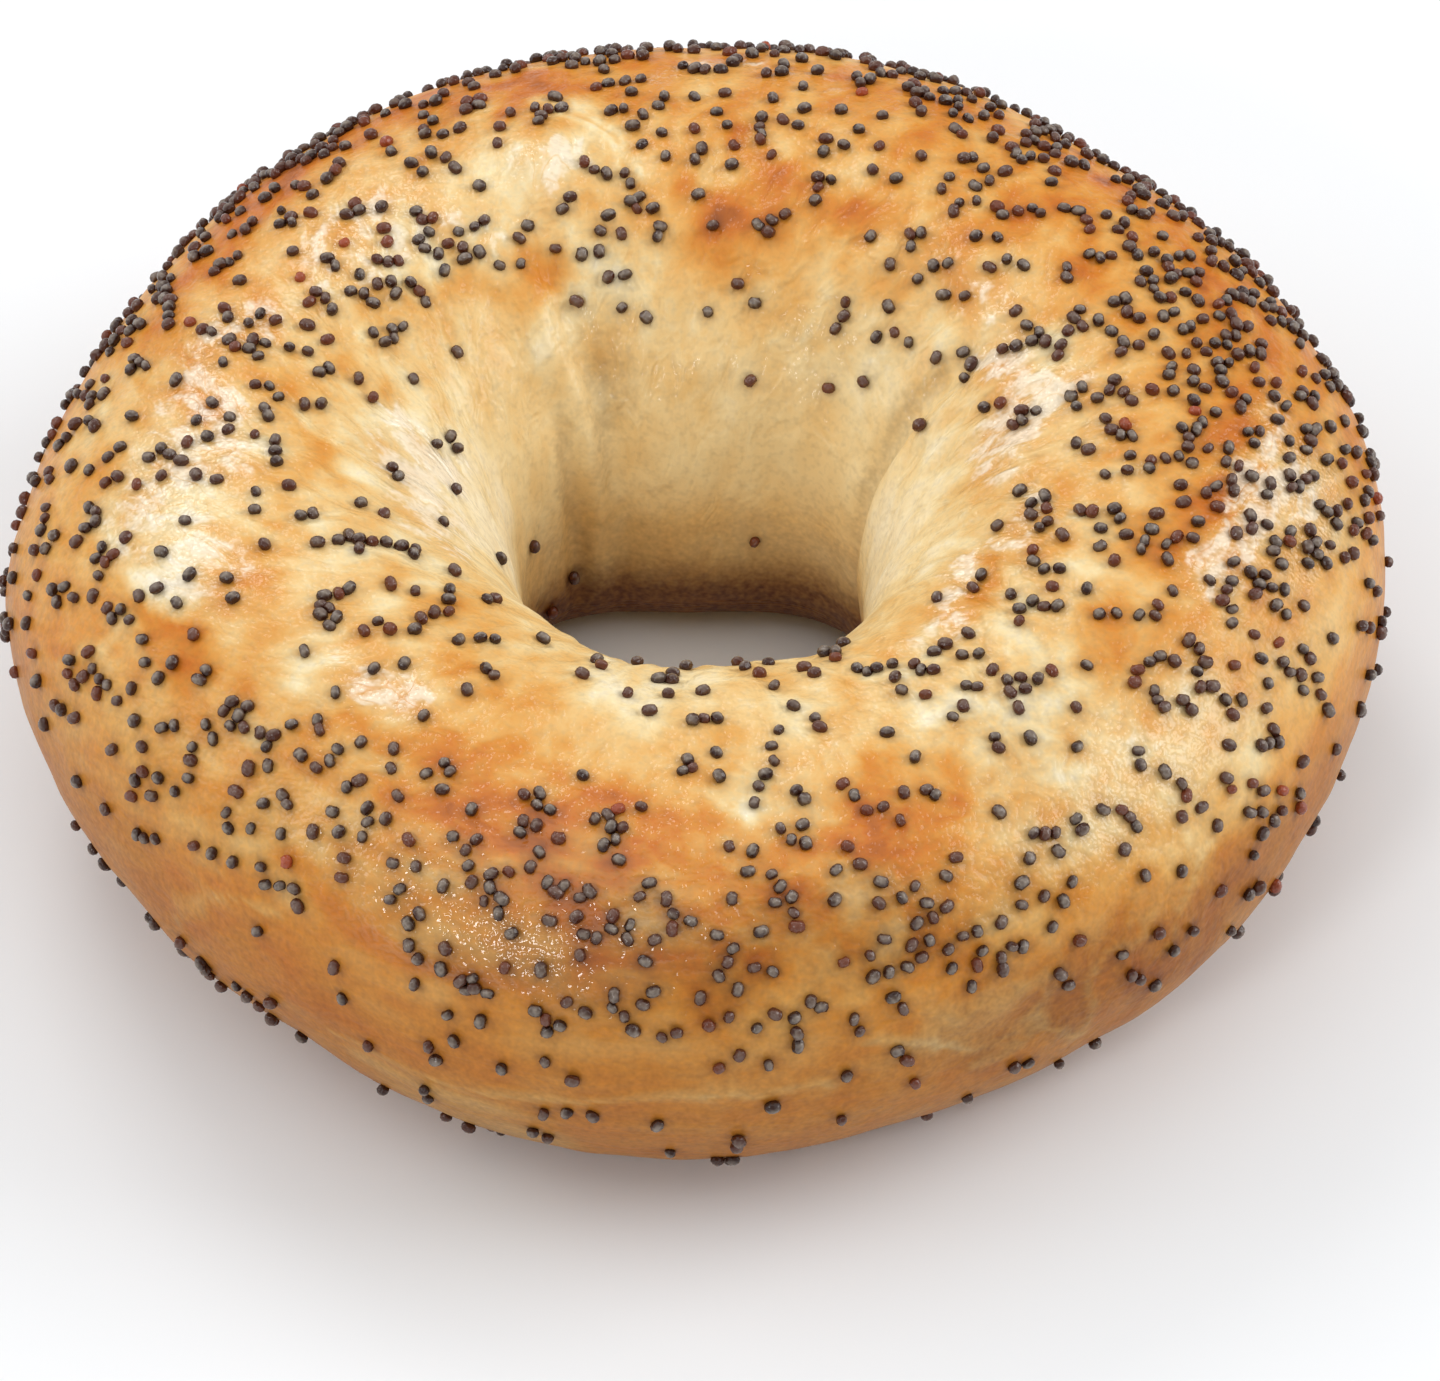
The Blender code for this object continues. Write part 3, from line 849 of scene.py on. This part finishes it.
def cell_of(point):
    """The small cube of space that a point is in."""
    return tuple(int(part // CELL_SIDE) for part in point)


def place_seed(point, gap):
    """Puts a seed on the crust nearest to the point, unless another lies nearer than the gap."""
    spot, normal = crust_tree.find_nearest(point)[:2]
    here = cell_of(spot)
    for step in np.ndindex(3, 3, 3):
        for other in cells.get(tuple(here[i] + step[i] - 1 for i in range(3)), ()):
            if (other - spot).length < gap:
                return None
    placed.append((spot, normal))
    cells.setdefault(here, []).append(spot)
    return spot


for around, across in LONE_SEEDS:
    lone = dough_point(np.array([math.radians(around)]), np.array([math.radians(across)]))
    place_seed(Vector(lone[0]), SEED_GAP)
while len(placed) < seed_count:
    face = int(np.searchsorted(chance, random.random() * chance[-1]))
    spot = place_seed(Vector(face_places[face]), SEED_GAP)
    while spot and random.random() < CLUMP_CHANCE:
        away = Vector((random.gauss(0, 1), random.gauss(0, 1), random.gauss(0, 1))).normalized()
        spot = place_seed(spot + away * random.uniform(*CLUMP_REACH) * SEED_WIDTH, CLUMP_GAP)

# Painted shade: the crust's colour is darkened in a ring around each seed, on the foot, low inside
# the hole, in its creases and on the flanks that face away from the light, and lightened on the
# bright right flank
SHADE_BY_ANGLE = (
    (-90, 0.50), (-40, 0.48), (-20, 0.42), (-5, 0.34), (10, 0.26), (22, 0.16), (40, 0.05), (60, 0.0),
    (168, 0.0), (178, 0.05), (182, 0.24), (186, 0.58), (192, 0.86), (215, 0.90), (245, 0.60), (270, 0.50),
)
SHADE_PATCHES = (
    ("floor of the far right crease", 23, 155, 3.5, 24, 0.18),
    ("hollow beside the far left crease", 117, 146, 5, 15, 0.16),
    ("floor of the far left crease", 122, 156, 3.5, 20, 0.18),
    ("floor of the left crease", 134, 174, 3, 16, 0.22),
    ("left foot", 206, -6, 26, 12, 0.08),
    ("dip in the foot", 300, -5, 6, 7, 0.06),
    ("front flank", 274, 40, 28, 15, 0.28),
    ("front right foot", 312, 3, 26, 16, 0.23),
    ("front right top", 312, 74, 16, 22, 0.10),
    ("bright right flank", 338, 20, 34, 16, -0.12),
)
RING_AROUND_SEED = 0.00074
RING_SHADE = 0.34
seed_tree = KDTree(len(placed))
for number, (spot, normal) in enumerate(placed):
    seed_tree.insert(spot, number)
seed_tree.balance()
nearest = np.array([seed_tree.find(point)[2] for point in points])
painted_shade = by_angle(SHADE_BY_ANGLE, angle) + spread(SHADE_PATCHES, loose_azimuth, loose_angle)
painted_shade = painted_shade + RING_SHADE * np.exp(-((nearest / RING_AROUND_SEED) ** 2))
keep_on_mesh(crust_mesh, "painted_shade", np.clip(painted_shade, 0, 1))

bm = bmesh.new()
tones = []
for spot, normal in placed:
    size = random.uniform(*SEED_SIZES)
    long, wide = size * random.uniform(*SEED_LENGTHS), size * random.uniform(*SEED_WIDTHS)
    stretch = Matrix.Diagonal((long, wide, size, 1))
    lean = Matrix.Rotation(random.gauss(0, SEED_LEAN), 4, "X")
    lean = lean @ Matrix.Rotation(random.gauss(0, SEED_TIP), 4, "Y")
    turn = Matrix.Rotation(random.random() * math.tau, 4, "Z") @ lean
    upright = normal.to_track_quat("Z", "Y").to_matrix().to_4x4()
    lift = SEED_DEPTH * size * (0.5 - SEED_SUNK * random.uniform(*SEED_SUNK_SHARES))
    one = seed_mesh.copy()
    one.transform(Matrix.Translation(spot + normal * lift) @ upright @ turn @ stretch)
    bm.from_mesh(one)
    bpy.data.meshes.remove(one)
    tones.append(random.random())
seeds_mesh = bpy.data.meshes.new("poppy_seeds")
bm.to_mesh(seeds_mesh)
bm.free()
seeds_mesh.shade_smooth()
keep_on_mesh(seeds_mesh, "tone", np.repeat(tones, len(seed_height)))
keep_on_mesh(seeds_mesh, "top", np.tile(seed_height, len(placed)))
bpy.data.meshes.remove(seed_mesh)

# Dry poppy seed coat
# A hard, finely pitted skin, near black to dark brown, with a grey top that is partly its own dull
# bloom and partly painted highlight. A few seeds are unripe and red brown. It gives each dark grain
# a small soft light.

# The skin's colour from ripe to unripe, then the grey top of bloom and painted highlight: its
# colour, the share it covers, how high up the seed it starts and is whole, which seeds have less,
# and how little an unripe one has
TONE_STOPS = (
    (0.00, "#321a12"),
    (0.50, "#402115"),
    (0.85, "#542818"),
    (0.985, "#6e3219"),
    (1.00, "#a84a28"),
)
BLOOM_AND_HIGHLIGHT_COLOUR = "#c6b9a9"
BLOOM_AND_HIGHLIGHT_COVER = 0.44
BLOOM_AND_HIGHLIGHT_HEIGHTS = (0.78, 1.30)
LESS_BLOOM_AND_HIGHLIGHT_TONES = (0.35, 1.00)
UNRIPE_BLOOM_AND_HIGHLIGHT = 0.10

# The pits in the skin, and how much they break up the grey top of bloom and painted highlight. Real
# pits are a tenth of a millimetre across, too fine to show, so these are drawn three times as wide
PIT_SIZE = 0.0003
PIT_DEPTH = 0.00012
PITS_IN_BLOOM_AND_HIGHLIGHT = 0.32

seed_material = bpy.data.materials.new("dry poppy seed coat")
seed_material.use_nodes = True
tree = seed_material.node_tree
tree.nodes.clear()
place = add_node(tree, "ShaderNodeTexCoord").outputs["Object"]
tone = add_node(tree, "ShaderNodeAttribute", {"attribute_name": "tone"}).outputs["Fac"]
top = add_node(tree, "ShaderNodeAttribute", {"attribute_name": "top"}).outputs["Fac"]
colour = add_node(tree, "ShaderNodeValToRGB", {}, {"Fac": tone}, TONE_STOPS)
pits = add_node(tree, "ShaderNodeTexNoise", {}, {
    "Vector": place, "Scale": 1 / PIT_SIZE, "Detail": 0.0}).outputs["Fac"]
# The grey top of each seed, partly its own bloom and partly painted highlight, broken up by pits
pitted_top = add_node(tree, "ShaderNodeMath", {"operation": "MULTIPLY_ADD"}, {
    0: pits, 1: PITS_IN_BLOOM_AND_HIGHLIGHT, 2: top})
bloom_and_highlight = add_node(tree, "ShaderNodeMapRange", {"interpolation_type": "SMOOTHSTEP"}, {
    "Value": pitted_top, "From Min": BLOOM_AND_HIGHLIGHT_HEIGHTS[0], "From Max": BLOOM_AND_HIGHLIGHT_HEIGHTS[1],
    "To Min": 0.0, "To Max": BLOOM_AND_HIGHLIGHT_COVER})
ripe = add_node(tree, "ShaderNodeMapRange", {}, {
    "Value": tone, "From Min": LESS_BLOOM_AND_HIGHLIGHT_TONES[0], "From Max": LESS_BLOOM_AND_HIGHLIGHT_TONES[1],
    "To Min": 1.0, "To Max": UNRIPE_BLOOM_AND_HIGHLIGHT})
bloom_and_highlight = add_node(tree, "ShaderNodeMath", {"operation": "MULTIPLY"}, {0: bloom_and_highlight, 1: ripe})
colour = add_node(tree, "ShaderNodeMix", {"data_type": "RGBA"}, {
    "Factor": bloom_and_highlight, 6: colour, 7: linear(BLOOM_AND_HIGHLIGHT_COLOUR)}).outputs[2]
bump = add_node(tree, "ShaderNodeBump", {}, {"Height": pits, "Strength": 1.0, "Distance": PIT_DEPTH})
shader = add_node(tree, "ShaderNodeBsdfPrincipled", {}, {
    "Base Color": colour, "Roughness": 0.26, "IOR": 1.5, "Normal": bump})
add_node(tree, "ShaderNodeOutputMaterial", {}, {"Surface": shader})
seeds_mesh.materials.append(seed_material)
seeds = bpy.data.objects.new("poppy_seeds", seeds_mesh)
bpy.context.scene.collection.objects.link(seeds)
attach(seeds, "root")

# Studio
# A pale matt floor in a pale room, with soft boxes above, at the back, right, left and front
# left, and the camera that saw the bagel from 45 degrees up.
FLOOR_HALF_SIDE = 3.0
FLOOR_COLOUR = "#f0f3f6"
ROOM_COLOUR = "#fdfdfd"
ROOM_STRENGTH = 0.43
bm = bmesh.new()
bmesh.ops.create_grid(bm, x_segments=1, y_segments=1, size=FLOOR_HALF_SIDE)
floor_mesh = bpy.data.meshes.new("floor")
bm.to_mesh(floor_mesh)
bm.free()
floor_material = bpy.data.materials.new("pale matt board")
floor_material.use_nodes = True
tree = floor_material.node_tree
tree.nodes.clear()
shader = add_node(tree, "ShaderNodeBsdfPrincipled", {}, {
    "Base Color": linear(FLOOR_COLOUR), "Roughness": 0.9})
add_node(tree, "ShaderNodeOutputMaterial", {}, {"Surface": shader})
floor_mesh.materials.append(floor_material)
floor = bpy.data.objects.new("floor", floor_mesh)
bpy.context.scene.collection.objects.link(floor)

room = bpy.data.worlds.new("pale room")
room.use_nodes = True
room.node_tree.nodes["Background"].inputs["Color"].default_value = linear(ROOM_COLOUR)
room.node_tree.nodes["Background"].inputs["Strength"].default_value = ROOM_STRENGTH
bpy.context.scene.world = room

# Soft boxes: name, degrees around from +X, degrees up, width, height and radiance
BOX_DISTANCE = 1.2
BOX_COLOUR = (1.0, 0.99, 0.98)
SOFT_BOXES = (
    ("top_box", 80, 86, 1.90, 1.70, 0.62),
    ("back_box", 112, 42, 0.40, 0.44, 4.2),
    ("right_box", 8, 32, 0.80, 0.60, 4.2),
    ("left_box", 170, 30, 0.80, 0.60, 2.3),
    ("front_left_box", -122, 34, 0.22, 0.22, 14.5),
)
for name, around, up, width, tall, radiance in SOFT_BOXES:
    light = bpy.data.lights.new(name, "AREA")
    light.shape = "RECTANGLE"
    light.size = width
    light.size_y = tall
    light.energy = radiance * width * tall * math.pi
    light.color = BOX_COLOUR
    box = bpy.data.objects.new(name, light)
    around, up = math.radians(around), math.radians(up)
    towards = Vector((math.cos(around) * math.cos(up), math.sin(around) * math.cos(up), math.sin(up)))
    box.location = towards * BOX_DISTANCE
    box.rotation_euler = towards.to_track_quat("Z", "Y").to_euler()
    bpy.context.scene.collection.objects.link(box)

# Camera: the photo's frame is 1440 pixels wide, and its lens 8651 of those pixels long
PHOTO_WIDTH = 1440
FOCAL_PIXELS = 8651.3
SENSOR_WIDTH = 36
CAMERA_UP = math.radians(45)
CAMERA_DISTANCE = 0.700
CAMERA_TARGET = Vector((0.00176, 0.00499, 0.0))
camera_data = bpy.data.cameras.new("camera")
camera_data.sensor_width = SENSOR_WIDTH
camera_data.lens = SENSOR_WIDTH * FOCAL_PIXELS / PHOTO_WIDTH
camera_data.clip_start = 0.05
camera_data.clip_end = 20
camera = bpy.data.objects.new("camera", camera_data)
towards = Vector((0, -math.cos(CAMERA_UP), math.sin(CAMERA_UP)))
camera.location = CAMERA_TARGET + towards * CAMERA_DISTANCE
camera.rotation_euler = (math.pi / 2 - CAMERA_UP, 0, 0)
bpy.context.scene.collection.objects.link(camera)
bpy.context.scene.camera = camera
bpy.context.scene.view_settings.view_transform = "Standard"
